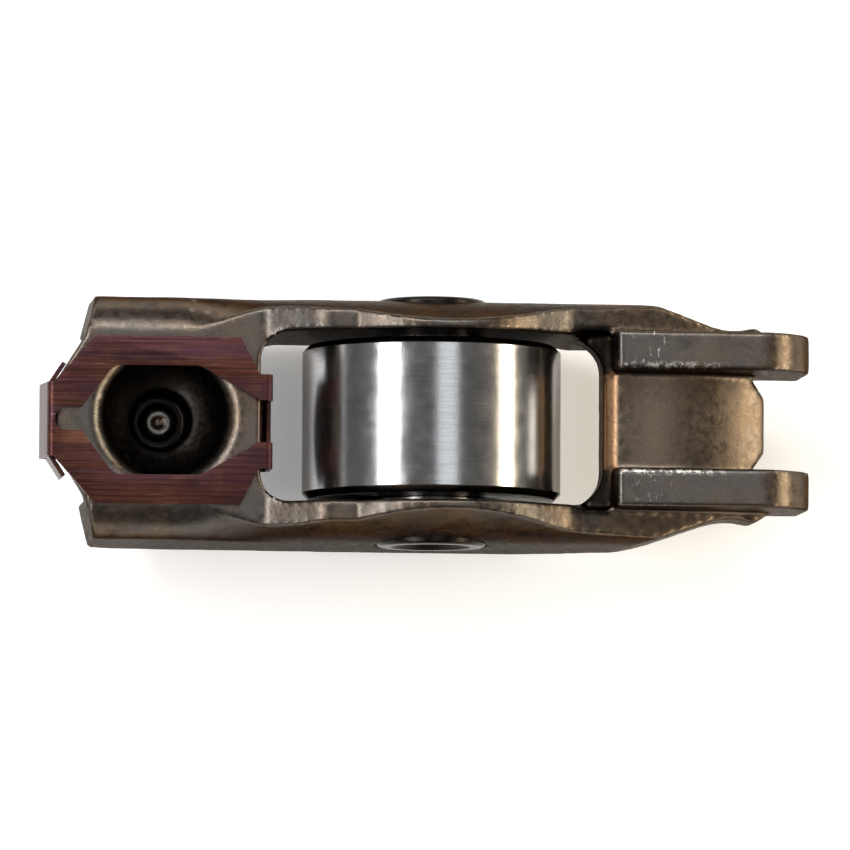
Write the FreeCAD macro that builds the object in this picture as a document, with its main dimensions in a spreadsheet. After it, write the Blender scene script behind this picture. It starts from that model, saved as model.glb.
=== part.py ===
import FreeCAD
import Part
import Sketcher
import math
import os

# Stamped roller finger follower: a cam-driven lever with a needle roller in its middle.
# Frame: origin on the roller axis at the mid-plane, +X to the valve end, +Y along the
# roller pin, +Z to the side that faces the valve stem and the pivot ball.  Millimetres.

SIZES = {
    # lever pressing, side view
    "halfWidth": 8.45,
    "heelX": 24.5,
    "heelFlankX": 23.6,
    "heelWebHalf": 5.4,
    "tongueRootX": 22.0,
    "tongueTipX": 26.6,
    "tongueTipHalf": 2.1,
    "tongueBlend": 2.0,
    "socketWebZ": 4.6,
    "rampFootX": 12.0,
    "rampTopX": 8.1,
    "bellyHeelX": 5.9,
    "rampTopZ": 7.15,
    "bellyRadius": 11.0,
    "bellyNoseX": 7.2,
    "bellyNoseZ": 6.85,
    "shoulderX": 9.0,
    "shoulderZ": 5.6,
    "wallEndX": 23.3,
    "wallEndZ": 2.6,
    "wallEndSkirtZ": 1.0,
    "heelSkirtZ": 5.1,
    "skirtZ": 6.1,
    "skirtHalfX": 6.5,
    "noseSkirtX": 13.2,
    "noseSkirtZ": 4.3,
    "heelCornerRadius": 3.0,
    "rampBlend": 2.2,
    "rampFootBlend": 1.2,
    "shoulderBlend": 3.5,
    "skirtBlend": 6.0,
    # lever pressing, plan and section
    "blankHalf": 8.7,
    "waistX": 13.7,
    "waistBlend": 15.0,
    "noseX": 20.6,
    "noseHalf": 6.35,
    "noseBlend": 5.0,
    "bumpX": 22.4,
    "bumpHalf": 6.85,
    "wallEndHalf": 6.25,
    "flankRadius": 21.0,
    "flankZ": 0.3,
    "flankTopHalf": 6.3,
    "flankTopZ": 9.5,
    "flankLowHalf": 8.8,
    "flankLowZ": 12.0,
    "bendRadius": 3.2,
    "bendZ": 1.45,
    "bendTopHalf": 5.0,
    "bendTopZ": 4.64,
    "bendFadeHeelX": 17.5,
    "bendFadeNoseX": 8.5,
    "bendFadeRun": 3.0,
    "insideHalf": 5.7,
    "insideNoseHalf": 3.42,
    "insideWaistX": 13.9,
    "insideNoseX": 19.6,
    "insideWebZ": 1.9,
    "insideStepX": 11.0,
    "padUnderRadius": 11.3,
    "padUnderHeelX": 9.2,
    "padUnderTipX": 24.0,
    "padUnderEndZ": 0.92,
    "stockReach": 40.0,
    # roller window
    "windowHeelX": 12.3,
    "windowNoseX": 11.6,
    "windowHalf": 5.85,
    "windowHeelRadius": 1.9,
    "windowNoseRadius": 2.45,
    # pivot socket
    "socketX": 18.9,
    "ballRadius": 4.25,
    "ballZ": 3.74,
    "mouthRadius": 5.45,
    "mouthRound": 1.3,
    "oilWellRadius": 2.03,
    "oilWellZ": 2.3,
    "oilButtonRadius": 1.0,
    "oilButtonTopZ": 1.8,
    "oilDimpleRadius": 0.5,
    "oilDimpleZ": 2.1,
    "domeRadius": 5.8,
    "domeCentreZ": 3.3,
    "domeTipRadius": 3.9,
    "domeTipZ": 4.8,
    "domeTipRound": 1.4,
    "domeTrimZ": 2.4,
    "domeTrimHalf": 6.2,
    "domeTrimX": 23.9,
    # valve end
    "earInner": 3.42,
    "earOuter": 6.1,
    "earHeelX": 12.1,
    "earTipX": 26.0,
    "earFaceZ": 7.5,
    "earRoundX": 22.0,
    "earRoundZ": 3.5,
    "earRadius": 4.0,
    "earFootZ": 1.0,
    "padRadius": 15.3,
    "padHeelX": 12.4,
    "padHeelZ": 4.242,
    "padEndX": 25.6,
    "padEndZ": 0.422,
    "padTipX": 23.1,
    "padCornerX": 22.0,
    "padCornerY": 1.9,
    "stripStepX": 8.7,
    "stripStepZ": 6.4,
    "stripX": 10.5,
    "stripZ": 2.7,
    # roller, needles and pin
    "rollerRadius": 9.0,
    "rollerHalfWidth": 5.35,
    "rollerEdge": 0.45,
    "raceRadius": 5.43,
    "raceEdge": 0.35,
    "needleRadius": 0.8,
    "needleHalfLength": 4.9,
    "needleEndRadius": 0.55,
    "needleShoulderY": 4.65,
    "needlePitchRadius": 4.61,
    "pinRadius": 3.79,
    "pinHalfLength": 8.6,
    "pinFlatRadius": 3.5,
    "pinShoulderY": 8.3,
    "pinLipRadius": 2.9,
    "pinDishRadius": 2.5,
    "pinDishY": 8.2,
    # retaining clip
    "clipGauge": 0.3,
    "clipZ": 4.62,
    "clipTopZ": 4.92,
    "clipShiftY": 0.38,
    "clipHalfWidth": 5.8,
    "clipHeelX": 27.1,
    "clipHeelFoldX": 26.65,
    "clipHeelKneeX": 26.86,
    "clipHeelOutX": 27.45,
    "clipHeelInX": 27.15,
    "clipHeelTuckX": 26.95,
    "clipHeelTipX": 24.3,
    "clipFoldZ": 4.42,
    "clipTuckZ": 1.9,
    "clipFold": 0.5,
    "clipFoldInside": 0.2,
    "clipFootHalf": 2.55,
    "clipShoulderX": 23.8,
    "clipToeX": 13.75,
    "clipToeTipX": 13.3,
    "clipTabX": 12.45,
    "clipTabHalf": 3.25,
    "clipEndX": 11.5,
    "clipToeInX": 11.8,
    "clipToeFoldX": 12.0,
    "clipMouthHalf": 3.78,
    "clipMouthHeelX": 22.5,
    "clipMouthNeckX": 24.75,
    "clipMouthToeX": 16.55,
    "clipMouthBlend": 1.2,
    "clipSlotHalf": 0.8,
    "clipSlotX": 26.55,
    "clipSlotBlend": 0.7,
    "clipThroatHalf": 1.46,
    "clipThroatZ": 3.0,
    "clipHookZ": 1.7,
    "clipHookLowZ": 1.4,
    "clipWing": 1.95,
    "clipWingAngle": 57.0,
    "clipWingInset": 0.2,
    "clipWingTopZ": 4.3,
}
NEEDLES = 17
SHEET = "Sizes"
EDGE_TOLERANCE = 0.02
STATION_REACH = 45.0
FADE_STEPS = 8

doc = FreeCAD.newDocument("FingerFollower")
sheet = doc.addObject("Spreadsheet::Sheet", SHEET)
for row, (alias, size) in enumerate(SIZES.items(), start=1):
    sheet.set("A%d" % row, alias)
    sheet.set("B%d" % row, str(size))
    sheet.setAlias("B%d" % row, alias)
doc.recompute()


def value(name):
    # A name with a leading minus stands for the negative of its cell.
    if name == "0":
        return 0.0
    if name.startswith("-"):
        return -SIZES[name[1:]]
    return SIZES[name]


def formula(name):
    if name == "0":
        return "0 mm"
    if name.startswith("-"):
        return "-%s.%s * 1 mm" % (SHEET, name[1:])
    return "%s.%s * 1 mm" % (SHEET, name)


PLANES = {
    "XY": FreeCAD.Rotation(),
    "XZ": FreeCAD.Rotation(FreeCAD.Vector(1, 0, 0), 90),
    "YZ": FreeCAD.Rotation(FreeCAD.Vector(1, 1, 1), 120),
}


def outline(name, plane, corners):
    # A closed outline.  Each corner is (x, y) or (x, y, radius, side), where the radius
    # and side belong to the arc that runs from this corner to the next one.
    sketch = doc.addObject("Sketcher::SketchObject", name)
    sketch.Placement = FreeCAD.Placement(FreeCAD.Vector(), PLANES[plane])
    points = [FreeCAD.Vector(value(c[0]), value(c[1]), 0) for c in corners]
    ends = []
    for index, corner in enumerate(corners):
        first = points[index]
        last = points[(index + 1) % len(corners)]
        if len(corner) == 2:
            sketch.addGeometry(Part.LineSegment(first, last), False)
            ends.append((1, 2))
            continue
        radius = value(corner[2])
        side = corner[3]
        chord = last - first
        rise = math.sqrt(radius ** 2 - (chord.Length / 2) ** 2)
        normal = FreeCAD.Vector(-chord.y, chord.x, 0).normalize()
        centre = (first + last) * 0.5 + normal * rise * side
        bulge = centre - normal * radius * side
        sketch.addGeometry(Part.Arc(first, bulge, last), False)
        ends.append((1, 2) if side > 0 else (2, 1))
    for index in range(len(corners)):
        nextIndex = (index + 1) % len(corners)
        sketch.addConstraint(Sketcher.Constraint(
            "Coincident", index, ends[index][1], nextIndex, ends[nextIndex][0]))
    for index, corner in enumerate(corners):
        spot = points[index]
        for kind, word, size in (("DistanceX", corner[0], spot.x), ("DistanceY", corner[1], spot.y)):
            number = sketch.addConstraint(Sketcher.Constraint(kind, index, ends[index][0], size))
            sketch.setExpression("Constraints[%d]" % number, formula(word))
        if len(corner) == 4:
            number = sketch.addConstraint(Sketcher.Constraint("Radius", index, value(corner[2])))
            sketch.setExpression("Constraints[%d]" % number, formula(corner[2]))
    return sketch


def extrude(name, sketch, forward, backward="0"):
    solid = doc.addObject("Part::Extrusion", name)
    solid.Base = sketch
    solid.DirMode = "Normal"
    solid.Solid = True
    solid.setExpression("LengthFwd", formula(forward))
    if backward != "0":
        solid.setExpression("LengthRev", formula(backward))
    else:
        solid.LengthRev = 0
    return solid


def reach(name, sketch):
    # Extrudes an outline both ways, far past everything else.
    return extrude(name, sketch, "stockReach", "stockReach")


def join(name, kind, pieces):
    result = doc.addObject(kind, name)
    result.Shapes = pieces
    doc.recompute()
    return result


def cut(name, base, tool):
    result = doc.addObject("Part::Cut", name)
    result.Base = base
    result.Tool = tool
    doc.recompute()
    return result


def rounded(name, base, rules):
    # Each rule is (test on an edge, radius name) and rounds the edges that pass the test.
    result = doc.addObject("Part::Fillet", name)
    result.Base = base
    doc.recompute()
    picked = []
    for index, edge in enumerate(base.Shape.Edges, start=1):
        for test, radius in rules:
            if test(edge):
                picked.append((index, value(radius), value(radius)))
                break
    result.Edges = picked
    doc.recompute()
    return result


def midpoint(edge):
    return edge.valueAt((edge.FirstParameter + edge.LastParameter) / 2)


def acrossAt(xName, zName):
    # Picks a straight edge along Y at the given place in the side view.
    spot = (value(xName), value(zName))

    def test(edge):
        place = midpoint(edge)
        near = math.hypot(place.x - spot[0], place.z - spot[1]) < EDGE_TOLERANCE
        return near and abs(edge.Vertexes[0].Z - edge.Vertexes[-1].Z) < EDGE_TOLERANCE and (
            abs(edge.Vertexes[0].X - edge.Vertexes[-1].X) < EDGE_TOLERANCE)
    return test


def uprightAt(xName, yName):
    # Picks an edge along Z at the given place in the plan, on both sides of the mid-plane.
    spot = (value(xName), value(yName))

    def test(edge):
        place = midpoint(edge)
        return math.hypot(place.x - spot[0], abs(place.y) - spot[1]) < EDGE_TOLERANCE
    return test


def flankStations():
    # Places along X, each with how far the tight heel bend has faded into the tall flank.
    heel = value("-bendFadeHeelX")
    span = value("-bendFadeNoseX") - heel
    places = [(-STATION_REACH, 0.0), (heel - value("bendFadeRun"), 0.0)]
    for step in range(FADE_STEPS + 1):
        share = step / FADE_STEPS
        places.append((heel + span * share, share * share * (3 - 2 * share)))
    places += [(value("-bendFadeNoseX") + value("bendFadeRun"), 1.0), (STATION_REACH, 1.0)]
    return places


def flankStation(index, place, blend):
    # One cross-section of the outside of the side walls.
    def between(heelName, bellyName):
        return value(heelName) + (value(bellyName) - value(heelName)) * blend

    low = FreeCAD.Vector(place, value("flankLowHalf"), -value("flankLowZ"))
    tangent = FreeCAD.Vector(place, value("halfWidth"), between("bendZ", "flankZ"))
    top = FreeCAD.Vector(place, between("bendTopHalf", "flankTopHalf"), between("bendTopZ", "flankTopZ"))
    radius = between("bendRadius", "flankRadius")
    chord = top - tangent
    centre = (top + tangent) * 0.5 - FreeCAD.Vector(0, chord.z, -chord.y).normalize() * math.sqrt(
        radius ** 2 - (chord.Length / 2) ** 2)
    middle = centre + ((top + tangent) * 0.5 - centre).normalize() * radius

    def other(point):
        return FreeCAD.Vector(point.x, -point.y, point.z)

    wire = Part.Wire([
        Part.makeLine(other(low), low),
        Part.makeLine(low, tangent),
        Part.Arc(tangent, middle, top).toShape(),
        Part.makeLine(top, other(top)),
        Part.Arc(other(top), other(middle), other(tangent)).toShape(),
        Part.makeLine(other(tangent), other(low)),
    ])
    station = doc.addObject("Part::Feature", "flankStation%d" % index)
    station.Shape = wire
    return station


def hull():
    side = reach("hullSide", outline("hullSideLine", "XZ", [
        ("-heelX", "-heelSkirtZ"),
        ("-skirtHalfX", "-skirtZ"),
        ("skirtHalfX", "-skirtZ"),
        ("noseSkirtX", "-noseSkirtZ"),
        ("wallEndX", "-wallEndSkirtZ"),
        ("wallEndX", "wallEndZ"),
        ("shoulderX", "shoulderZ"),
        ("bellyNoseX", "bellyNoseZ", "bellyRadius", 1),
        ("-bellyHeelX", "rampTopZ"),
        ("-rampTopX", "rampTopZ"),
        ("-rampFootX", "socketWebZ"),
        ("-heelX", "socketWebZ"),
    ]))
    side = rounded("hullSideBlend", side, [
        (acrossAt("-heelX", "-heelSkirtZ"), "heelCornerRadius"),
        (acrossAt("-skirtHalfX", "-skirtZ"), "skirtBlend"),
        (acrossAt("skirtHalfX", "-skirtZ"), "skirtBlend"),
        (acrossAt("noseSkirtX", "-noseSkirtZ"), "skirtBlend"),
        (acrossAt("shoulderX", "shoulderZ"), "shoulderBlend"),
        (acrossAt("-rampTopX", "rampTopZ"), "rampBlend"),
        (acrossAt("-rampFootX", "socketWebZ"), "rampFootBlend"),
    ])
    plan = reach("hullPlan", outline("hullPlanLine", "XY", [
        ("-heelX", "-heelWebHalf"),
        ("-heelFlankX", "-blankHalf"),
        ("waistX", "-blankHalf"),
        ("noseX", "-noseHalf"),
        ("bumpX", "-bumpHalf"),
        ("wallEndX", "-wallEndHalf"),
        ("wallEndX", "wallEndHalf"),
        ("bumpX", "bumpHalf"),
        ("noseX", "noseHalf"),
        ("waistX", "blankHalf"),
        ("-heelFlankX", "blankHalf"),
        ("-heelX", "heelWebHalf"),
    ]))
    plan = rounded("hullPlanBlend", plan, [
        (uprightAt("waistX", "blankHalf"), "waistBlend"),
        (uprightAt("noseX", "noseHalf"), "noseBlend"),
    ])
    section = doc.addObject("Part::Loft", "hullSection")
    stations = enumerate(flankStations())
    section.Sections = [flankStation(index, place, blend) for index, (place, blend) in stations]
    section.Solid = True
    section.Ruled = True
    doc.recompute()
    return join("hullBlank", "Part::MultiCommon", [side, plan, section])


def leverShell():
    # The pressing before its holes: blank, ears, hollow inside and the dome of the pivot socket.
    blank = hull()
    ear = extrude("earBlock", outline("earLine", "XZ", [
        ("earHeelX", "-earFootZ"),
        ("earTipX", "-earFootZ"),
        ("earTipX", "earRoundZ", "earRadius", 1),
        ("earRoundX", "earFaceZ"),
        ("earHeelX", "earFaceZ"),
    ]), "earOuter", "earOuter")
    solid = join("blankWithEars", "Part::MultiFuse", [blank, ear])
    hollowSide = reach("hollowSide", outline("hollowSideLine", "XZ", [
        ("-stockReach", "-stockReach"),
        ("stockReach", "-stockReach"),
        ("stockReach", "-padUnderEndZ"),
        ("padUnderTipX", "-padUnderEndZ", "padUnderRadius", 1),
        ("padUnderHeelX", "-padUnderEndZ"),
        ("padUnderHeelX", "stockReach"),
        ("-insideStepX", "stockReach"),
        ("-insideStepX", "insideWebZ"),
        ("-stockReach", "insideWebZ"),
    ]))
    hollowPlan = reach("hollowPlan", outline("hollowPlanLine", "XY", [
        ("-stockReach", "-insideHalf"),
        ("insideWaistX", "-insideHalf"),
        ("insideNoseX", "-insideNoseHalf"),
        ("stockReach", "-insideNoseHalf"),
        ("stockReach", "insideNoseHalf"),
        ("insideNoseX", "insideNoseHalf"),
        ("insideWaistX", "insideHalf"),
        ("-stockReach", "insideHalf"),
    ]))
    hollowPlan = rounded("hollowPlanBlend", hollowPlan, [
        (uprightAt("insideWaistX", "insideHalf"), "waistBlend"),
        (uprightAt("insideNoseX", "insideNoseHalf"), "noseBlend"),
    ])
    hollow = join("hollow", "Part::MultiCommon", [hollowSide, hollowPlan])
    solid = cut("blankHollowed", solid, hollow)
    return join("blankWithDome", "Part::MultiFuse", [solid, dome(), tongue()])


def tongue():
    # The web's end, which reaches out past the side walls for the clip to hook under.
    plate = extrude("tonguePlate", outline("tongueLine", "XY", [
        ("-tongueTipX", "-tongueTipHalf"),
        ("-heelX", "-heelWebHalf"),
        ("-tongueRootX", "-heelWebHalf"),
        ("-tongueRootX", "heelWebHalf"),
        ("-heelX", "heelWebHalf"),
        ("-tongueTipX", "tongueTipHalf"),
    ]), "socketWebZ")
    plate = rounded("tongueBlend", plate, [(uprightAt("-tongueTipX", "tongueTipHalf"), "tongueBlend")])
    under = extrude("tongueUnder", doc.getObject("tongueLine"), "insideWebZ")
    return cut("tongue", plate, under)


def revolve(name, sketch, centreX):
    # Turns an XZ outline drawn about X = 0 round the vertical axis, then moves it along X.
    solid = doc.addObject("Part::Revolution", name)
    solid.Source = sketch
    solid.Axis = FreeCAD.Vector(0, 0, 1)
    solid.Base = FreeCAD.Vector(0, 0, 0)
    solid.Angle = 360
    solid.Solid = True
    solid.setExpression("Placement.Base.x", formula(centreX))
    return solid


def cylinder(name, radius, low, height, centreX):
    solid = doc.addObject("Part::Cylinder", name)
    solid.setExpression("Radius", formula(radius))
    solid.setExpression("Height", height)
    solid.setExpression("Placement.Base.z", formula(low))
    solid.setExpression("Placement.Base.x", formula(centreX))
    return solid


def ball(name, radius, centreZ, centreX):
    solid = doc.addObject("Part::Sphere", name)
    solid.setExpression("Radius", formula(radius))
    solid.setExpression("Placement.Base.z", formula(centreZ))
    solid.setExpression("Placement.Base.x", formula(centreX))
    return solid


def dome():
    # The outside of the socket, drawn through the web towards the cam side.
    shell = ball("domeBall", "domeRadius", "domeCentreZ", "-socketX")
    slab = extrude("domeTrim", outline("domeTrimLine", "XZ", [
        ("-domeTrimX", "-stockReach"),
        ("0", "-stockReach"),
        ("0", "domeTrimZ"),
        ("-domeTrimX", "domeTrimZ"),
    ]), "domeTrimHalf", "domeTrimHalf")
    cap = join("domeCap", "Part::MultiCommon", [shell, slab])
    tip = cylinder("domeTip", "domeTipRadius", "-domeTipZ",
                   "(Sizes.domeTipZ + Sizes.insideWebZ) * 1 mm", "-socketX")

    def onTip(edge):
        return edge.Closed and abs(midpoint(edge).z + value("domeTipZ")) < EDGE_TOLERANCE
    tip = rounded("domeTipBlend", tip, [(onTip, "domeTipRound")])
    return join("dome", "Part::MultiFuse", [cap, tip])


def socketCavity():
    # Ball seat, rounded mouth, oil well with its small button and dimple.
    seat = ball("ballSeat", "ballRadius", "ballZ", "-socketX")
    mouth = revolve("ballMouth", outline("ballMouthLine", "XZ", [
        ("0", "ballZ"),
        ("ballRadius", "ballZ", "mouthRound", -1),
        ("mouthRadius", "socketWebZ"),
        ("mouthRadius", "stockReach"),
        ("0", "stockReach"),
    ]), "-socketX")
    well = cylinder("oilWell", "oilWellRadius", "-oilWellZ",
                    "(Sizes.oilWellZ + Sizes.ballZ) * 1 mm", "-socketX")
    button = cylinder("oilButton", "oilButtonRadius", "-oilWellZ",
                      "(Sizes.oilWellZ - Sizes.oilButtonTopZ) * 1 mm", "-socketX")
    dimple = cylinder("oilDimple", "oilDimpleRadius", "-oilDimpleZ",
                      "(Sizes.oilDimpleZ - Sizes.oilButtonTopZ) * 1 mm", "-socketX")
    ring = cut("oilRing", button, dimple)
    return cut("socketCavity", join("socketBulk", "Part::MultiFuse", [seat, mouth, well]), ring)


def valvePocket():
    # The gap between the ears over the curved valve pad, and the clipped end of the pad.
    over = extrude("overPad", outline("overPadLine", "XZ", [
        ("padHeelX", "padHeelZ"),
        ("padHeelX", "stockReach"),
        ("padEndX", "stockReach"),
        ("padEndX", "padEndZ", "padRadius", 1),
    ]), "earInner", "earInner")
    beyond = reach("beyondPad", outline("beyondPadLine", "XY", [
        ("padCornerX", "-earInner"),
        ("stockReach", "-earInner"),
        ("stockReach", "earInner"),
        ("padCornerX", "earInner"),
        ("padTipX", "padCornerY"),
        ("padTipX", "-padCornerY"),
    ]))
    strip = extrude("webStrip", outline("webStripLine", "XZ", [
        ("stripStepX", "stripStepZ"),
        ("stripX", "stripZ"),
        ("padHeelX", "padHeelZ"),
        ("padHeelX", "stockReach"),
        ("stripStepX", "stockReach"),
    ]), "earOuter", "earOuter")
    strip = cut("webStripClear", strip, doc.getObject("earBlock"))
    gate = extrude("webStripGate", doc.getObject("webStripLine"), "earInner", "earInner")
    return [over, beyond, strip, gate]


def lever():
    solid = leverShell()
    window = reach("window", outline("windowLine", "XY", [
        ("-windowHeelX", "-windowHalf"),
        ("windowNoseX", "-windowHalf"),
        ("windowNoseX", "windowHalf"),
        ("-windowHeelX", "windowHalf"),
    ]))
    window = rounded("windowBlend", window, [
        (uprightAt("-windowHeelX", "windowHalf"), "windowHeelRadius"),
        (uprightAt("windowNoseX", "windowHalf"), "windowNoseRadius"),
    ])
    bore = doc.addObject("Part::Cylinder", "pinBore")
    bore.setExpression("Radius", formula("pinRadius"))
    bore.setExpression("Height", "2 * Sizes.stockReach * 1 mm")
    bore.Placement = FreeCAD.Placement(
        FreeCAD.Vector(0, value("stockReach"), 0), FreeCAD.Rotation(FreeCAD.Vector(1, 0, 0), 90))
    tools = join("leverCuts", "Part::MultiFuse", [window, bore, socketCavity()] + valvePocket())
    return cut("lever_body", solid, tools)


def turned(name, corners):
    # A solid of revolution about the roller axis, from an outline of (radius, along Y).
    solid = doc.addObject("Part::Revolution", name)
    solid.Source = outline(name + "Line", "XY", corners)
    solid.Axis = FreeCAD.Vector(0, 1, 0)
    solid.Base = FreeCAD.Vector(0, 0, 0)
    solid.Angle = 360
    solid.Solid = True
    doc.recompute()
    return solid


def camRoller():
    tyre = turned("rollerBlank", [
        ("raceRadius", "-rollerHalfWidth"),
        ("rollerRadius", "-rollerHalfWidth"),
        ("rollerRadius", "rollerHalfWidth"),
        ("raceRadius", "rollerHalfWidth"),
    ])

    def rim(radius):
        return lambda edge: edge.Closed and abs(edge.Curve.Radius - value(radius)) < EDGE_TOLERANCE
    return rounded("cam_roller", tyre, [
        (rim("rollerRadius"), "rollerEdge"),
        (rim("raceRadius"), "raceEdge"),
    ])


def rollerPin():
    return turned("roller_pin", [
        ("0", "-pinDishY"),
        ("pinDishRadius", "-pinDishY"),
        ("pinLipRadius", "-pinHalfLength"),
        ("pinFlatRadius", "-pinHalfLength"),
        ("pinRadius", "-pinShoulderY"),
        ("pinRadius", "pinShoulderY"),
        ("pinFlatRadius", "pinHalfLength"),
        ("pinLipRadius", "pinHalfLength"),
        ("pinDishRadius", "pinDishY"),
        ("0", "pinDishY"),
    ])


def needle(number):
    roller = turned("needle_%02d" % number, [
        ("0", "-needleHalfLength"),
        ("needleEndRadius", "-needleHalfLength"),
        ("needleRadius", "-needleShoulderY"),
        ("needleRadius", "needleShoulderY"),
        ("needleEndRadius", "needleHalfLength"),
        ("0", "needleHalfLength"),
    ])
    angle = 360.0 * (number - 1) / NEEDLES
    roller.setExpression("Placement.Base.x", "%s.needlePitchRadius * 1 mm * cos(%.6f deg)" % (SHEET, angle))
    roller.setExpression("Placement.Base.z", "%s.needlePitchRadius * 1 mm * sin(%.6f deg)" % (SHEET, angle))
    return roller


def clipHook(name, corners, half):
    return extrude(name, outline(name + "Line", "XZ", corners), half, half)


def retainingClip():
    plate = extrude("clipPlate", outline("clipPlateLine", "XY", [
        ("-clipHeelFoldX", "-clipFootHalf"),
        ("-clipShoulderX", "-clipHalfWidth"),
        ("-clipToeX", "-clipHalfWidth"),
        ("-clipTabX", "-clipTabHalf"),
        ("-clipToeFoldX", "-clipTabHalf"),
        ("-clipToeFoldX", "clipTabHalf"),
        ("-clipTabX", "clipTabHalf"),
        ("-clipToeX", "clipHalfWidth"),
        ("-clipShoulderX", "clipHalfWidth"),
        ("-clipHeelFoldX", "clipFootHalf"),
    ]), "clipTopZ", "0")
    under = extrude("clipUnder", outline("clipUnderLine", "XY", [
        ("-stockReach", "-stockReach"),
        ("stockReach", "-stockReach"),
        ("stockReach", "stockReach"),
        ("-stockReach", "stockReach"),
    ]), "clipZ", "0")
    plate = cut("clipSheet", plate, under)
    heel = clipHook("clipHeelHook", [
        ("-clipHeelTuckX", "clipHookLowZ"),
        ("-clipHeelTipX", "clipHookLowZ"),
        ("-clipHeelTipX", "clipHookZ"),
        ("-clipHeelTuckX", "clipHookZ", "clipFoldInside", -1),
        ("-clipHeelInX", "clipTuckZ"),
        ("-clipHeelKneeX", "clipFoldZ", "clipFoldInside", -1),
        ("-clipHeelFoldX", "clipZ"),
        ("-clipHeelFoldX", "clipTopZ", "clipFold", 1),
        ("-clipHeelX", "clipFoldZ"),
        ("-clipHeelOutX", "clipTuckZ", "clipFold", 1),
    ], "clipFootHalf")
    toe = clipHook("clipToeHook", [
        ("-clipToeTipX", "clipHookLowZ"),
        ("-clipToeFoldX", "clipHookLowZ", "clipFold", 1),
        ("-clipEndX", "clipTuckZ"),
        ("-clipEndX", "clipFoldZ", "clipFold", 1),
        ("-clipToeFoldX", "clipTopZ"),
        ("-clipToeFoldX", "clipZ", "clipFoldInside", -1),
        ("-clipToeInX", "clipFoldZ"),
        ("-clipToeInX", "clipTuckZ", "clipFoldInside", -1),
        ("-clipToeFoldX", "clipHookZ"),
        ("-clipToeTipX", "clipHookZ"),
    ], "clipTabHalf")
    wings = []
    for side, turn in (("Left", 1), ("Right", -1)):
        wing = doc.addObject("Part::Box", "clipWing" + side)
        wing.setExpression("Length", formula("clipWing"))
        wing.setExpression("Width", formula("clipGauge"))
        wing.setExpression("Height", "(Sizes.clipWingTopZ - Sizes.clipHookLowZ) * 1 mm")
        angle = turn * value("clipWingAngle")
        corner = value("clipGauge") if turn > 0 else 0.0
        offset = FreeCAD.Rotation(FreeCAD.Vector(0, 0, 1), angle).multVec(FreeCAD.Vector(0, corner, 0))
        root = turn * (value("clipFootHalf") - value("clipWingInset"))
        wing.Placement = FreeCAD.Placement(
            FreeCAD.Vector(-value("clipHeelX"), root, value("clipHookLowZ")) - offset,
            FreeCAD.Rotation(FreeCAD.Vector(0, 0, 1), angle))
        wings.append(wing)
    solid = join("clipSolid", "Part::MultiFuse", [plate, heel, toe] + wings)
    mouth = reach("clipMouth", outline("clipMouthLine", "XY", [
        ("-clipSlotX", "-clipSlotHalf"),
        ("-clipMouthNeckX", "-clipSlotHalf"),
        ("-clipMouthHeelX", "-clipMouthHalf"),
        ("-clipMouthToeX", "-clipMouthHalf"),
        ("-clipTabX", "-clipThroatHalf"),
        ("-clipTabX", "clipThroatHalf"),
        ("-clipMouthToeX", "clipMouthHalf"),
        ("-clipMouthHeelX", "clipMouthHalf"),
        ("-clipMouthNeckX", "clipSlotHalf"),
        ("-clipSlotX", "clipSlotHalf"),
    ]))
    mouth = rounded("clipMouthBlend", mouth, [
        (uprightAt("-clipMouthHeelX", "clipMouthHalf"), "clipMouthBlend"),
        (uprightAt("-clipMouthToeX", "clipMouthHalf"), "clipMouthBlend"),
        (uprightAt("-clipSlotX", "clipSlotHalf"), "clipSlotBlend"),
    ])
    throat = extrude("clipThroat", outline("clipThroatLine", "XZ", [
        ("-clipTabX", "clipThroatZ"),
        ("0", "clipThroatZ"),
        ("0", "stockReach"),
        ("-clipTabX", "stockReach"),
    ]), "clipThroatHalf", "clipThroatHalf")
    return cut("retaining_clip", solid, join("clipCuts", "Part::MultiFuse", [mouth, throat]))


def main():
    parts = [lever(), retainingClip(), camRoller(), rollerPin()]
    parts += [needle(number) for number in range(1, NEEDLES + 1)]
    parts[1].setExpression("Placement.Base.y", "-%s.clipShiftY * 1 mm" % SHEET)
    doc.recompute()
    for item in doc.Objects:
        if "Invalid" in item.State or "Error" in item.State:
            raise RuntimeError("%s did not build: %s" % (item.Name, item.State))
    for part in parts:
        part.Label = part.Name
        if part.Shape.isNull() or not part.Shape.isValid() or len(part.Shape.Solids) != 1:
            raise RuntimeError("%s is not one valid solid" % part.Name)
    os.makedirs("parts", exist_ok=True)
    for part in parts:
        part.Shape.exportStep("parts/%s.step" % part.Label)
        box = part.Shape.BoundBox
        print("%-16s volume %9.3f  x %7.2f %7.2f  y %7.2f %7.2f  z %7.2f %7.2f" % (
            part.Label, part.Shape.Volume, box.XMin, box.XMax, box.YMin, box.YMax, box.ZMin, box.ZMax))


main()
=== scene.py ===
import bpy
import math
from mathutils import Matrix, Vector


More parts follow.
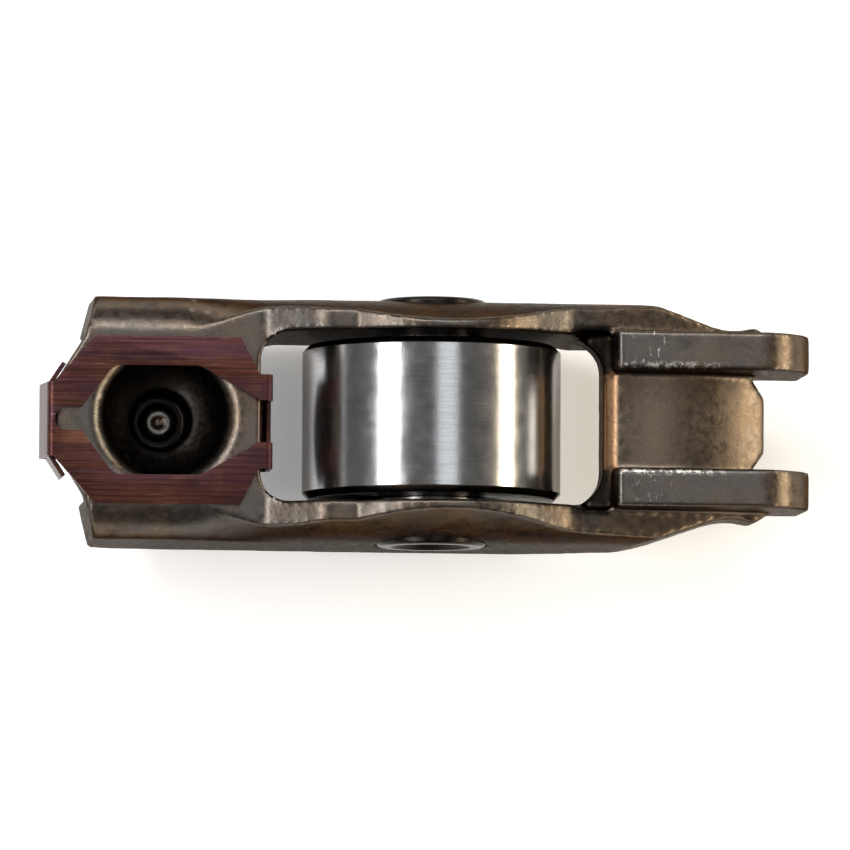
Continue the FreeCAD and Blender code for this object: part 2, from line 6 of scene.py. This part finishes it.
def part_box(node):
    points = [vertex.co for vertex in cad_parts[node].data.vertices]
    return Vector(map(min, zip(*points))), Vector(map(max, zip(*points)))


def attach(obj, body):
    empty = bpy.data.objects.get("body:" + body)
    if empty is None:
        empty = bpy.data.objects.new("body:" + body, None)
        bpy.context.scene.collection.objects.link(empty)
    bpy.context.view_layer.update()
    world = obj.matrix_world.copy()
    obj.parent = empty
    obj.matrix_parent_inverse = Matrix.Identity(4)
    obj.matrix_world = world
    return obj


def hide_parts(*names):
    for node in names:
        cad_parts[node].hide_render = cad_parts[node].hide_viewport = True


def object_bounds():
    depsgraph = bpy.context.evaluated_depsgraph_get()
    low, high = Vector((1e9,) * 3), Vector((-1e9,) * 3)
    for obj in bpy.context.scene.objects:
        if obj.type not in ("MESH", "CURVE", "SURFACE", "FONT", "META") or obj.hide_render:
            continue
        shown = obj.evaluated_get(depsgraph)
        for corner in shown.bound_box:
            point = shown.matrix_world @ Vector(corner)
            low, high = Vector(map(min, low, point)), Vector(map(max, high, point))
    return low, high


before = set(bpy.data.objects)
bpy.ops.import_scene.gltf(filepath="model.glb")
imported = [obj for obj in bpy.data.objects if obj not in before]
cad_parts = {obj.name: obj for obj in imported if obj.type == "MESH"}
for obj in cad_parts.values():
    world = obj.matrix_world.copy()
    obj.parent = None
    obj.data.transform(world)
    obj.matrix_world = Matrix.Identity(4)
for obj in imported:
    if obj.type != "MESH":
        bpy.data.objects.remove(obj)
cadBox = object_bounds()
scene = bpy.context.scene
mm = 0.001
near = 0.01 * mm                # how close two places are to count as one
alongY = (math.pi / 2, 0, 0)    # lays a cylinder's axis along Y


# selecting and modelling helpers

def selectNothing():
    if bpy.context.object and bpy.context.object.mode != "OBJECT":
        bpy.ops.object.mode_set(mode="OBJECT")
    bpy.ops.object.select_all(action="DESELECT")


def workOn(piece):
    selectNothing()
    piece.select_set(True)
    bpy.context.view_layer.objects.active = piece


def pickFaces(piece, wanted):
    # selects the faces whose middle and normal pass the test, in edit mode
    bpy.ops.object.mode_set(mode="EDIT")
    bpy.ops.mesh.select_mode(type="FACE")
    bpy.ops.mesh.select_all(action="DESELECT")
    bpy.ops.object.mode_set(mode="OBJECT")
    for face in piece.data.polygons:
        face.select = bool(wanted(face.center, face.normal))
    bpy.ops.object.mode_set(mode="EDIT")


def pickEdges(piece, wanted):
    # selects the edges whose two ends pass the test, in edit mode
    bpy.ops.object.mode_set(mode="EDIT")
    bpy.ops.mesh.select_mode(type="EDGE")
    bpy.ops.mesh.select_all(action="DESELECT")
    bpy.ops.object.mode_set(mode="OBJECT")
    points = piece.data.vertices
    for edge in piece.data.edges:
        first, last = edge.vertices
        edge.select = bool(wanted(points[first].co, points[last].co))
    bpy.ops.object.mode_set(mode="EDIT")


def finishMesh(piece, angle):
    bpy.ops.object.mode_set(mode="OBJECT")
    workOn(piece)
    bpy.ops.object.transform_apply(location=True, rotation=True, scale=True)
    bpy.ops.object.shade_smooth_by_angle(angle=math.radians(angle))


def copyOfNode(node, name):
    # a merged copy of a CAD node's mesh, to be worked over
    piece = bpy.data.objects.new(name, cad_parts[node].data.copy())
    scene.collection.objects.link(piece)
    workOn(piece)
    piece.data.materials.clear()
    if piece.data.has_custom_normals:
        bpy.ops.mesh.customdata_custom_splitnormals_clear()
    bpy.ops.object.mode_set(mode="EDIT")
    bpy.ops.mesh.select_all(action="SELECT")
    bpy.ops.mesh.remove_doubles(threshold=0.002 * mm)
    bpy.ops.object.mode_set(mode="OBJECT")
    return piece


def applyModifier(piece, kind, **settings):
    workOn(piece)
    modifier = piece.modifiers.new(kind.title(), kind)
    for key, setting in settings.items():
        setattr(modifier, key, setting)
    bpy.ops.object.modifier_apply(modifier=modifier.name)


# materials

class Finish:
    # a small helper round one material's node tree

    def __init__(self, name, color, metallic, roughness):
        self.material = bpy.data.materials.new(name)
        self.material.use_nodes = True
        self.tree = self.material.node_tree
        self.shader = self.tree.nodes["Principled BSDF"]
        self.shader.inputs["Base Color"].default_value = (*color, 1)
        self.shader.inputs["Metallic"].default_value = metallic
        self.shader.inputs["Roughness"].default_value = roughness
        self.coords = self.tree.nodes.new("ShaderNodeTexCoord")

    def link(self, start, end):
        self.tree.links.new(start, end)

    def feed(self, socket, source):
        # a source is another node's socket, a number or a colour
        if isinstance(source, bpy.types.NodeSocket):
            self.link(source, socket)
        elif isinstance(source, (int, float)):
            socket.default_value = source
        else:
            socket.default_value = (*source, 1)

    def mapped(self, scale):
        node = self.tree.nodes.new("ShaderNodeMapping")
        node.inputs["Scale"].default_value = scale
        self.link(self.coords.outputs["Object"], node.inputs["Vector"])
        return node.outputs["Vector"]

    def noise(self, size, detail=4.0, rough=0.55, stretch=(1, 1, 1), distortion=0.0):
        # size is the grain's size in metres
        node = self.tree.nodes.new("ShaderNodeTexNoise")
        node.inputs["Scale"].default_value = 1.0
        node.inputs["Detail"].default_value = detail
        node.inputs["Roughness"].default_value = rough
        node.inputs["Distortion"].default_value = distortion
        self.link(self.mapped([s / size for s in stretch]), node.inputs["Vector"])
        return node.outputs["Fac"]

    def ramp(self, source, stops):
        node = self.tree.nodes.new("ShaderNodeValToRGB")
        while len(node.color_ramp.elements) < len(stops):
            node.color_ramp.elements.new(0.5)
        for element, (place, color) in zip(node.color_ramp.elements, stops):
            element.position = place
            element.color = (*color, 1)
        self.link(source, node.inputs["Fac"])
        return node.outputs["Color"]

    def grey(self, source, stops):
        return self.ramp(source, [(place, (level, level, level)) for place, level in stops])

    def mix(self, share, first, second):
        node = self.tree.nodes.new("ShaderNodeMix")
        node.data_type = "RGBA"
        self.feed(node.inputs["Factor"], share)
        self.feed(node.inputs[6], first)
        self.feed(node.inputs[7], second)
        return node.outputs[2]

    def combine(self, operation, first, second):
        node = self.tree.nodes.new("ShaderNodeMath")
        node.operation = operation
        for socket, source in zip(node.inputs, (first, second)):
            self.feed(socket, source)
        return node.outputs[0]

    def times(self, *shares):
        product = shares[0]
        for share in shares[1:]:
            product = self.combine("MULTIPLY", product, share)
        return product

    def coat(self, tone, color, *shares):
        # lays a colour over a tone, as strongly as all the shares together say
        return self.mix(self.times(*shares), tone, color)

    def vector(self, operation, first, second=None):
        node = self.tree.nodes.new("ShaderNodeVectorMath")
        node.operation = operation
        self.link(first, node.inputs[0])
        if second:
            node.inputs[1].default_value = second
        return node

    def fade(self, source, start, end, first, last):
        # runs from first to last while the source goes from start to end
        node = self.tree.nodes.new("ShaderNodeMapRange")
        settings = {"From Min": start, "From Max": end, "To Min": first, "To Max": last}
        for name, setting in settings.items():
            node.inputs[name].default_value = setting
        self.link(source, node.inputs["Value"])
        return node.outputs["Result"]

    def within(self, axis, low, high, soft):
        # 1 where the object coordinate is between low and high, fading over soft, all in metres
        parts = self.tree.nodes.new("ShaderNodeSeparateXYZ")
        self.link(self.coords.outputs["Object"], parts.inputs[0])
        along = parts.outputs["XYZ".index(axis)]
        rising = self.fade(along, low - soft / 2, low + soft / 2, 0.0, 1.0)
        falling = self.fade(along, high - soft / 2, high + soft / 2, 1.0, 0.0)
        return self.times(rising, falling)

    def zone(self, spans):
        # 1 inside a box: spans gives low, high and fade in mm for each axis that it limits
        shares = []
        for axis, span in spans.items():
            low, high, soft = (size * mm for size in span)
            shares.append(self.within(axis, low, high, soft))
        return self.times(*shares)

    def around(self, x, y, radius, soft):
        # 1 inside a circle in the plan about (x, y), fading over soft
        shift = self.vector("SUBTRACT", self.coords.outputs["Object"], (x, y, 0))
        flat = self.vector("MULTIPLY", shift.outputs[0], (1, 1, 0))
        length = self.vector("LENGTH", flat.outputs[0])
        return self.fade(length.outputs["Value"], radius - soft / 2, radius + soft / 2, 1.0, 0.0)

    def upright(self, level, steep):
        # 1 on faces that stand up, 0 on faces that look up or down
        geometry = self.tree.nodes.new("ShaderNodeNewGeometry")
        parts = self.tree.nodes.new("ShaderNodeSeparateXYZ")
        self.link(geometry.outputs["Normal"], parts.inputs[0])
        rise = self.combine("ABSOLUTE", parts.outputs["Z"], 0.0)
        return self.fade(rise, level, steep, 0.0, 1.0)

    def dull(self, tint):
        # metal that stays dark at grazing angles, as an oxide skin does
        self.shader.inputs["Specular Tint"].default_value = (*tint, 1)

    def wearAndEdgeHighlight(self, low, high):
        # brighter on outside edges, from the mesh's own curvature: edge wear and partly a painted edge
        # highlight
        geometry = self.tree.nodes.new("ShaderNodeNewGeometry")
        return self.grey(geometry.outputs["Pointiness"], [(low, 0.0), (high, 1.0)])

    def bump(self, heights):
        # heights is a list of (source, depth in metres), fine grain last
        normal = None
        for source, depth in heights:
            node = self.tree.nodes.new("ShaderNodeBump")
            node.inputs["Strength"].default_value = 1.0
            node.inputs["Distance"].default_value = depth
            self.link(source, node.inputs["Height"])
            if normal:
                self.link(normal, node.inputs["Normal"])
            normal = node.outputs["Normal"]
        self.link(normal, self.shader.inputs["Normal"])

    def color(self, source):
        self.link(source, self.shader.inputs["Base Color"])

    def roughness(self, source):
        self.link(source, self.shader.inputs["Roughness"])


def pressedSteel():
    look = {
        "base": (0.118, 0.107, 0.097),
        "bronze": (0.18, 0.128, 0.086),
        "dark": (0.048, 0.040, 0.036),
        "worn": (0.60, 0.56, 0.50),
        "paintedShadeBlack": (0.012, 0.010, 0.009),
        "copper": (0.24, 0.135, 0.07),
        "grazing": (0.30, 0.28, 0.26),
        "cloud": 5.0 * mm,
        "stain": 2.0 * mm,
        "grain": 0.10 * mm,
        "pit": 0.45 * mm,
        "torn": 0.30 * mm,
        "rag": 0.42 * mm,
        "nick": 0.5 * mm,
        "cloudDepth": 0.06 * mm,
        "pitDepth": 0.012 * mm,
        "grainDepth": 0.007 * mm,
    }
    steel = Finish("pressedSteel", look["base"], 1.0, 0.34)
    steel.dull(look["grazing"])
    cloud = steel.noise(look["cloud"], 5, 0.6)
    stain = steel.noise(look["stain"], 6, 0.65, distortion=0.6)
    grain = steel.noise(look["grain"], 3, 0.6)
    pit = steel.noise(look["pit"], 4, 0.6)
    tone = steel.coat(look["base"], look["bronze"], steel.grey(cloud, [(0.42, 0.0), (0.68, 0.75)]))
    tone = steel.coat(tone, look["dark"], steel.grey(stain, [(0.50, 0.0), (0.74, 0.65)]))
    tone = steel.coat(tone, look["dark"], steel.grey(grain, [(0.40, 0.0), (0.72, 0.5)]))
    nose = steel.zone({"X": (11.0, 30.0, 1.5), "Z": (-2.0, 5.5, 0.5)})
    tone = steel.coat(tone, look["bronze"], nose, 0.45)
    # copper band along the window's end: partly the steel's own tint, partly a painted reflection and
    # highlight on its slope
    windowLipTintAndReflection = steel.zone({"X": (11.6, 12.5, 0.15), "Y": (-3.4, 3.4, 0.1)})
    tone = steel.coat(tone, look["copper"], windowLipTintAndReflection, 0.8)
    # painted shade: faces that stand upright are darkened halfway towards black
    tone = steel.coat(tone, look["paintedShadeBlack"], steel.upright(0.65, 0.2), 0.5)
    # the outside edges get edge wear and a painted edge highlight together
    edges = steel.wearAndEdgeHighlight(0.56, 0.63)
    tone = steel.coat(tone, look["worn"], edges, steel.grey(grain, [(0.42, 0.05), (0.6, 0.4)]))
    tone = chippedEars(steel, tone, look, edges)
    tone = shadedSocket(steel, tone, look)
    tone = shadedPockets(steel, tone, look)
    steel.color(tone)
    steel.roughness(steel.grey(pit, [(0.35, 0.27), (0.7, 0.42)]))
    steel.bump([(cloud, look["cloudDepth"]), (pit, look["pitDepth"]), (grain, look["grainDepth"])])
    return steel.material


def chippedEars(steel, tone, look, edges):
    # bright chips on the ears' outside edges, nicks across them and burrs along their inside edges
    ears = steel.zone({"X": (12.0, 19.0, 2.0), "Z": (7.15, 9.0, 0.1)})
    torn = steel.noise(look["torn"], 5, 0.7, stretch=(0.5, 1, 1))
    tone = steel.coat(tone, look["worn"], edges, ears, steel.grey(torn, [(0.46, 0.0), (0.52, 1.0)]))
    nick = steel.noise(look["nick"], 6, 0.75, stretch=(2, 0.6, 1))
    nicked = steel.zone({"X": (13.2, 15.4, 1.2)})
    tone = steel.coat(tone, look["worn"], ears, nicked, steel.grey(nick, [(0.60, 0.0), (0.64, 1.0)]))
    rag = steel.grey(steel.noise(look["rag"], 6, 0.75), [(0.50, 0.0), (0.55, 1.0)])
    for side in (-1, 1):
        low, high = sorted((side * 3.3, side * 3.85))
        burred = steel.zone({"Y": (low, high, 0.3)})
        tone = steel.coat(tone, look["worn"], ears, burred, rag, 0.9)
    return tone


def shadedSocket(steel, tone, look):
    # paints shade into the cup and its well, and picks out the button on the well's floor and the eye in it
    middle = -18.9 * mm
    rings = (
        {"radius": 4.35, "soft": 0.5, "Z": (-3.0, 3.9, 0.8), "color": "paintedShadeBlack", "share": 0.62},
        {"radius": 2.25, "soft": 0.2, "Z": (-3.0, 0.4, 0.5), "color": "paintedShadeBlack", "share": 0.95},
        {"radius": 1.15, "soft": 0.25, "Z": (-2.1, -1.3, 0.2), "color": "worn", "share": 0.32},
        {"radius": 0.45, "soft": 0.15, "Z": (-2.6, -1.3, 0.2), "color": "bronze", "share": 0.8},
    )
    for ring in rings:
        disc = steel.around(middle, 0, ring["radius"] * mm, ring["soft"] * mm)
        layer = steel.zone({"Z": ring["Z"]})
        tone = steel.coat(tone, look[ring["color"]], disc, layer, ring["share"])
    return tone


def shadedPockets(steel, tone, look):
    # painted shade, near black, in the deep corners between the window's end and the ears
    for side in (-1, 1):
        low, high = sorted((side * 3.3, side * 6.6))
        pocket = steel.zone({"X": (8.9, 12.0, 0.5), "Y": (low, high, 0.2), "Z": (-1.0, 5.6, 1.0)})
        tone = steel.coat(tone, look["paintedShadeBlack"], pocket, 0.92)
    return tone


def groundSteel():
    look = {
        "base": (0.52, 0.52, 0.53),
        "tint": (0.43, 0.42, 0.41),
        "scratched": (0.78, 0.76, 0.73),
        "flecked": (0.75, 0.75, 0.76),
        "edge": (0.035, 0.032, 0.030),
        "endShadeMottle": (0.10, 0.09, 0.085),
        "grazing": (0.45, 0.43, 0.41),
        "line": 0.08 * mm,
        "broad": 1.0 * mm,
        "speck": 0.12 * mm,
        "scratch": 0.35 * mm,
        "speckDepth": 0.003 * mm,
        "lineDepth": 0.0010 * mm,
    }
    steel = Finish("groundSteel", look["base"], 1.0, 0.16)
    steel.dull(look["grazing"])
    lines = steel.noise(look["line"], 2, 0.6, stretch=(0.03, 1, 0.03))
    broad = steel.noise(look["broad"], 3, 0.5)
    speck = steel.noise(look["speck"], 3, 0.6)
    scratch = steel.noise(look["scratch"], 2, 0.5, stretch=(0.25, 1, 0.25), distortion=1.5)
    tone = steel.coat(look["base"], look["tint"], steel.grey(lines, [(0.35, 0.0), (0.7, 0.8)]))
    tone = steel.coat(tone, look["scratched"], steel.grey(scratch, [(0.70, 0.0), (0.78, 0.5)]))
    tone = steel.coat(tone, look["flecked"], steel.grey(speck, [(0.66, 0.0), (0.76, 0.5)]))
    # painted shade: the roller's end faces, outside the tread, are painted near black with a lighter mottle
    tread = steel.zone({"Y": (-4.95, 4.95, 0.12)})
    edge = steel.mix(broad, look["edge"], look["endShadeMottle"])
    steel.color(steel.mix(tread, edge, tone))
    steel.roughness(steel.grey(broad, [(0.3, 0.15), (0.7, 0.21)]))
    steel.bump([(speck, look["speckDepth"]), (lines, look["lineDepth"])])
    return steel.material


def pinSteel():
    look = {
        "base": (0.36, 0.35, 0.345),
        "dark": (0.10, 0.09, 0.085),
        "end": (0.020, 0.017, 0.015),
        "grain": 0.2 * mm,
        "cloud": 1.6 * mm,
        "grainDepth": 0.012 * mm,
    }
    steel = Finish("pinSteel", look["base"], 1.0, 0.28)
    grain = steel.noise(look["grain"], 5, 0.6)
    cloud = steel.noise(look["cloud"], 4, 0.6)
    tone = steel.coat(look["base"], look["dark"], steel.grey(cloud, [(0.4, 0.0), (0.7, 0.8)]))
    # painted shade: the pin's ends beyond the walls are painted near black
    ends = steel.coat(look["end"], look["dark"], steel.grey(grain, [(0.6, 0.0), (0.8, 0.5)]))
    middle = steel.zone({"Y": (-7.6, 7.6, 0.4)})
    steel.color(steel.mix(middle, ends, tone))
    steel.roughness(steel.grey(grain, [(0.3, 0.22), (0.7, 0.42)]))
    steel.bump([(grain, look["grainDepth"])])
    return steel.material


def needleSteel():
    look = {
        "base": (0.62, 0.62, 0.63),
        "low": (0.52, 0.52, 0.53),
        "high": (0.7, 0.7, 0.71),
        "line": 0.08 * mm,
        "lineDepth": 0.0015 * mm,
    }
    steel = Finish("needleSteel", look["base"], 1.0, 0.12)
    lines = steel.noise(look["line"], 2, 0.5, stretch=(1, 0.02, 1))
    steel.color(steel.ramp(lines, [(0.3, look["low"]), (0.7, look["high"])]))
    steel.roughness(steel.grey(lines, [(0.3, 0.09), (0.7, 0.17)]))
    steel.bump([(lines, look["lineDepth"])])
    return steel.material


def temperedStrip():
    look = {
        "brown": (0.085, 0.027, 0.018),
        "deep": (0.026, 0.009, 0.008),
        "violet": (0.060, 0.025, 0.038),
        "straw": (0.13, 0.055, 0.030),
        "scratched": (0.34, 0.22, 0.17),
        "line": 0.11 * mm,
        "band": 1.1 * mm,
        "cloud": 2.4 * mm,
        "scratch": 0.16 * mm,
        "lineDepth": 0.007 * mm,
        "scratchDepth": 0.004 * mm,
    }
    strip = Finish("temperedStrip", look["brown"], 0.85, 0.36)
    lines = strip.noise(look["line"], 4, 0.65, stretch=(0.02, 1, 1))
    bands = strip.noise(look["band"], 3, 0.5, stretch=(0.05, 1, 1))
    cloud = strip.noise(look["cloud"], 4, 0.6)
    scratch = strip.noise(look["scratch"], 2, 0.5, stretch=(0.05, 1, 1))
    tone = strip.coat(look["brown"], look["violet"], strip.grey(bands, [(0.38, 0.0), (0.66, 1.0)]))
    tone = strip.coat(tone, look["straw"], strip.grey(cloud, [(0.5, 0.0), (0.72, 0.8)]))
    tone = strip.coat(tone, look["deep"], strip.grey(lines, [(0.36, 0.85), (0.56, 0.0)]))
    tone = strip.coat(tone, look["scratched"], strip.grey(scratch, [(0.70, 0.0), (0.80, 0.65)]))
    strip.color(tone)
    strip.roughness(strip.grey(lines, [(0.3, 0.30), (0.7, 0.44)]))
    strip.bump([(lines, look["lineDepth"]), (scratch, look["scratchDepth"])])
    return strip.material


def shearedEdge():
    look = {
        "base": (0.45, 0.38, 0.35),
        "low": (0.20, 0.14, 0.12),
        "high": (0.70, 0.64, 0.60),
        "grain": 0.12 * mm,
        "grainDepth": 0.01 * mm,
    }
    edge = Finish("shearedEdge", look["base"], 1.0, 0.26)
    grain = edge.noise(look["grain"], 3, 0.6, stretch=(1, 1, 0.3))
    edge.color(edge.ramp(grain, [(0.3, look["low"]), (0.7, look["high"])]))
    edge.roughness(edge.grey(grain, [(0.3, 0.2), (0.7, 0.4)]))
    edge.bump([(grain, look["grainDepth"])])
    return edge.material


# pieces

def leverBody():
    look = {
        "voxel": 0.215 * mm,
        "smoothing": 4,
        "wave": 0.04 * mm,
        "waveSize": 3.0 * mm,
        "smoothAngle": 60,
    }
    body = copyOfNode("lever_body", "leverBody")
    applyModifier(body, "REMESH", mode="VOXEL", voxel_size=look["voxel"], adaptivity=0.0)
    applyModifier(body, "SMOOTH", factor=0.5, iterations=look["smoothing"])
    # the waves only go inward, so that the lever stays in its box
    waves = bpy.data.textures.new("pressWaves", "CLOUDS")
    waves.noise_scale = look["waveSize"]
    applyModifier(body, "DISPLACE", texture=waves, strength=look["wave"], mid_level=1.0,
                  texture_coords="LOCAL")
    body.data.materials.append(pressedSteel())
    finishMesh(body, look["smoothAngle"])
    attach(body, "lever")
    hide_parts("lever_body")
    print("lever body", len(body.data.polygons))


def retainingClip():
    look = {
        "edgeRound": 0.12 * mm,
        "edgeAngle": 50,
        "flat": 1.0,
        "smoothAngle": 35,
    }
    clip = copyOfNode("retaining_clip", "retainingClip")
    bpy.ops.object.mode_set(mode="EDIT")
    bpy.ops.mesh.select_all(action="SELECT")
    bpy.ops.mesh.dissolve_limited(angle_limit=math.radians(look["flat"]))
    bpy.ops.object.mode_set(mode="OBJECT")
    clip.data.materials.append(temperedStrip())
    clip.data.materials.append(shearedEdge())
    # the rounded edges take the second material
    applyModifier(clip, "BEVEL", width=look["edgeRound"], segments=3, limit_method="ANGLE",
                  angle_limit=math.radians(look["edgeAngle"]), material=1)
    finishMesh(clip, look["smoothAngle"])
    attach(clip, "lever")
    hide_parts("retaining_clip")
    print("retaining clip", len(clip.data.polygons))


def openTube(radius, depth, sides):
    bpy.ops.mesh.primitive_cylinder_add(vertices=sides, radius=radius, depth=depth,
                                        end_fill_type="NOTHING", rotation=alongY)


def camRoller():
    low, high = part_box("cam_roller")
    ring = {
        "outer": min(high[0], -low[2]),
        "half": high[1],
        "bore": 5.43 * mm,
        "edge": 0.45 * mm,
        "boreEdge": 0.35 * mm,
        "sides": 256,
        "smoothAngle": 30,
    }
    selectNothing()
    openTube(ring["outer"], 2 * ring["half"], ring["sides"])
    roller = bpy.context.object
    roller.name = "camRoller"
    bpy.ops.object.transform_apply(location=True, rotation=True, scale=True)
    bpy.ops.object.mode_set(mode="EDIT")
    openTube(ring["bore"], 2 * ring["half"], ring["sides"])
    for side in (-1, 1):
        pickEdges(roller, lambda a, b: min(a.y * side, b.y * side) > ring["half"] - near)
        bpy.ops.mesh.bridge_edge_loops()
    bpy.ops.mesh.select_all(action="SELECT")
    bpy.ops.mesh.normals_make_consistent(inside=False)
    rims = (
        (ring["outer"], ring["edge"], 1),
        (ring["bore"], ring["boreEdge"], 2),
    )
    for radius, width, segments in rims:
        def onRim(a, b):
            sameEnd = abs(a.y - b.y) < near and abs(a.y) > ring["half"] - near
            return sameEnd and all(abs(math.hypot(point.x, point.z) - radius) < 2 * near for point in (a, b))
        pickEdges(roller, onRim)
        bpy.ops.mesh.bevel(offset=width, segments=segments, affect="EDGES")
    roller.data.materials.append(groundSteel())
    finishMesh(roller, ring["smoothAngle"])
    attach(roller, "roller")
    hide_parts("cam_roller")
    print("cam roller", len(roller.data.polygons))


def rollerPin():
    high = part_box("roller_pin")[1]
    pin = {
        "radius": high[0],
        "half": high[1],
        "edge": 0.28 * mm,
        "lip": 0.62 * mm,
        "dish": 0.38 * mm,
        "depth": 0.4 * mm,
        "sides": 128,
        "smoothAngle": 30,
    }
    selectNothing()
    bpy.ops.mesh.primitive_cylinder_add(vertices=pin["sides"], radius=pin["radius"], depth=2 * pin["half"],
                                        end_fill_type="NGON", rotation=alongY)
    piece = bpy.context.object
    piece.name = "rollerPin"
    bpy.ops.object.transform_apply(location=True, rotation=True, scale=True)
    for side in (-1, 1):
        pickFaces(piece, lambda spot, normal: normal.y * side > 0.9)
        bpy.ops.mesh.inset(thickness=pin["edge"] + pin["lip"], depth=0)
        bpy.ops.mesh.inset(thickness=pin["dish"], depth=0)
        bpy.ops.transform.translate(value=(0, -side * pin["depth"], 0))
        bpy.ops.mesh.inset(thickness=pin["dish"], depth=0)

    def onEnd(a, b):
        innermost = min(math.hypot(a.x, a.z), math.hypot(b.x, b.z))
        return innermost > pin["radius"] - 2 * near and abs(a.y - b.y) < near
    pickEdges(piece, onEnd)
    bpy.ops.mesh.bevel(offset=pin["edge"], segments=4, affect="EDGES")
    piece.data.materials.append(pinSteel())
    finishMesh(piece, pin["smoothAngle"])
    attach(piece, "lever")
    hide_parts("roller_pin")
    print("roller pin", len(piece.data.polygons))


def dressNeedles():
    finish = needleSteel()
    for name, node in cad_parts.items():
        if name.startswith("needle_"):
            node.data.materials.clear()
            node.data.materials.append(finish)
    print("needles dressed")


# studio

def studioFloor():
    look = {
        "size": 3.0,
        "drop": 0.05 * mm,
        "paper": (0.92, 0.92, 0.92),
        "low": (0.91, 0.91, 0.91),
        "high": (0.94, 0.94, 0.94),
        "fibre": 0.8 * mm,
        "glow": 0.22,
    }
    selectNothing()
    bpy.ops.mesh.primitive_plane_add(size=look["size"], location=(0, 0, cadBox[0][2] - look["drop"]))
    floor = bpy.context.object
    floor.name = "studioFloor"
    paper = Finish("studioPaper", look["paper"], 0.0, 0.75)
    fibre = paper.noise(look["fibre"], 3, 0.5)
    paper.color(paper.ramp(fibre, [(0.3, look["low"]), (0.7, look["high"])]))
    paper.shader.inputs["Emission Color"].default_value = (1, 1, 1, 1)
    paper.shader.inputs["Emission Strength"].default_value = look["glow"]
    floor.data.materials.append(paper.material)
    print("studio floor")


def areaLight(name, place, turn, size, color, power):
    selectNothing()
    bpy.ops.object.light_add(type="AREA", location=place)
    light = bpy.context.object
    light.name = name
    light.data.shape = "RECTANGLE"
    light.data.size, light.data.size_y = size
    light.data.color = color
    light.data.energy = power
    light.rotation_euler = turn


def softbox(name, angle, distance, size, color, power):
    # a strip light square to the roller's axis, angle from straight up towards +X
    turn = math.radians(angle)
    place = Vector((math.sin(turn), 0, math.cos(turn))) * distance
    areaLight(name, place, (0, turn, 0), size, color, power)


def studioLights():
    white = (1.0, 1.0, 1.0)
    warm = (1.0, 0.86, 0.64)
    cool = (0.92, 0.96, 1.0)
    softbox("leftStrip", -44, 0.5, (0.14, 0.9), white, 3.3)
    softbox("rightStrip", 64, 0.5, (0.10, 0.9), warm, 2.9)
    softbox("overheadPanel", 8, 0.8, (0.25, 0.9), cool, 0.85)
    rear = {"tilt": math.radians(38), "distance": 0.6, "shift": -0.05, "size": (0.5, 0.12), "power": 1.5}
    away = rear["distance"] * math.sin(rear["tilt"])
    above = rear["distance"] * math.cos(rear["tilt"])
    areaLight("rearPanel", (rear["shift"], away, above), (-rear["tilt"], 0, 0), rear["size"], white,
              rear["power"])
    world = bpy.data.worlds.new("studioAir")
    scene.world = world
    world.use_nodes = True
    world.node_tree.nodes["Background"].inputs["Color"].default_value = (0.13, 0.127, 0.122, 1)
    world.node_tree.nodes["Background"].inputs["Strength"].default_value = 1.0
    print("studio lights")


def studioCamera():
    view = {
        "aim": (-0.44 * mm, -0.07 * mm, 0),
        "toward": (-0.111, -0.085, 0.990),
        "roll": 0.8,
        "distance": 0.6,
        "frameWidth": 59.15 * mm,
        "sensor": 36.0,
    }
    back = Vector(view["toward"]).normalized()
    roll = math.radians(view["roll"])
    right = Vector((math.cos(roll), math.sin(roll), 0))
    right = (right - right.dot(back) * back).normalized()
    up = back.cross(right)
    camera = bpy.data.cameras.new("studioCamera")
    camera.sensor_width = view["sensor"]
    camera.lens = view["sensor"] * view["distance"] / view["frameWidth"]
    holder = bpy.data.objects.new("studioCamera", camera)
    scene.collection.objects.link(holder)
    place = Vector(view["aim"]) + back * view["distance"]
    holder.matrix_world = Matrix.Translation(place) @ Matrix((right, up, back)).transposed().to_4x4()
    scene.camera = holder
    print("studio camera")


leverBody()
retainingClip()
camRoller()
rollerPin()
dressNeedles()
studioFloor()
studioLights()
studioCamera()
scene.view_settings.view_transform = "Standard"
